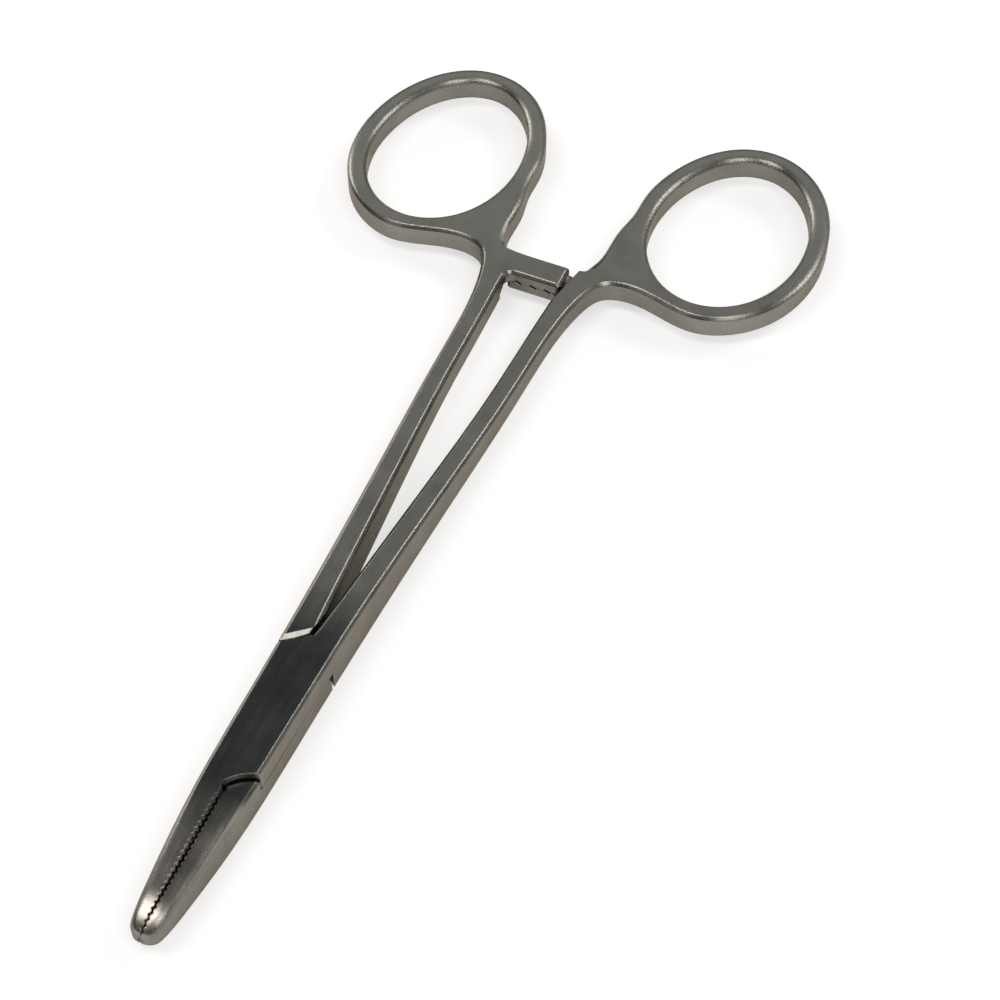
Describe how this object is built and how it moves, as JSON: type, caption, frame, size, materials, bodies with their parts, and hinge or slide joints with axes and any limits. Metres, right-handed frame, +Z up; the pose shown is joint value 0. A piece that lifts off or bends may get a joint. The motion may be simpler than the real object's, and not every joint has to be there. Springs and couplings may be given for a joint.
{
  "type": "needle holder",
  "caption": "Satin steel surgical needle holder with slim serrated jaws, lapped screw joint, long straight shanks, ratchet bars and oval finger rings, closed.",
  "frame": {"origin": "On the flat underside of the joint, 5 mm behind the pivot axis.", "axes": "+Y from the tips to the finger rings, +Z up out of the joint, +X towards the upper arm's ring."},
  "size_m": [0.0672, 0.1399, 0.0061],
  "materials": {
    "satin_steel": "satin",
    "screw_steel": "satin"
  },
  "bodies": {
    "upper": {"upper_arm": "satin_steel", "pivot_screw": "screw_steel"},
    "lower": {"lower_arm": "satin_steel"}
  },
  "joints": [
    {"name": "jaw_hinge", "type": "hinge", "parent": "upper", "child": "lower", "pos_m": [0, -0.005, 0.00305], "axis": [0, 0, 1], "range_deg": [0, 32]}
  ]
}
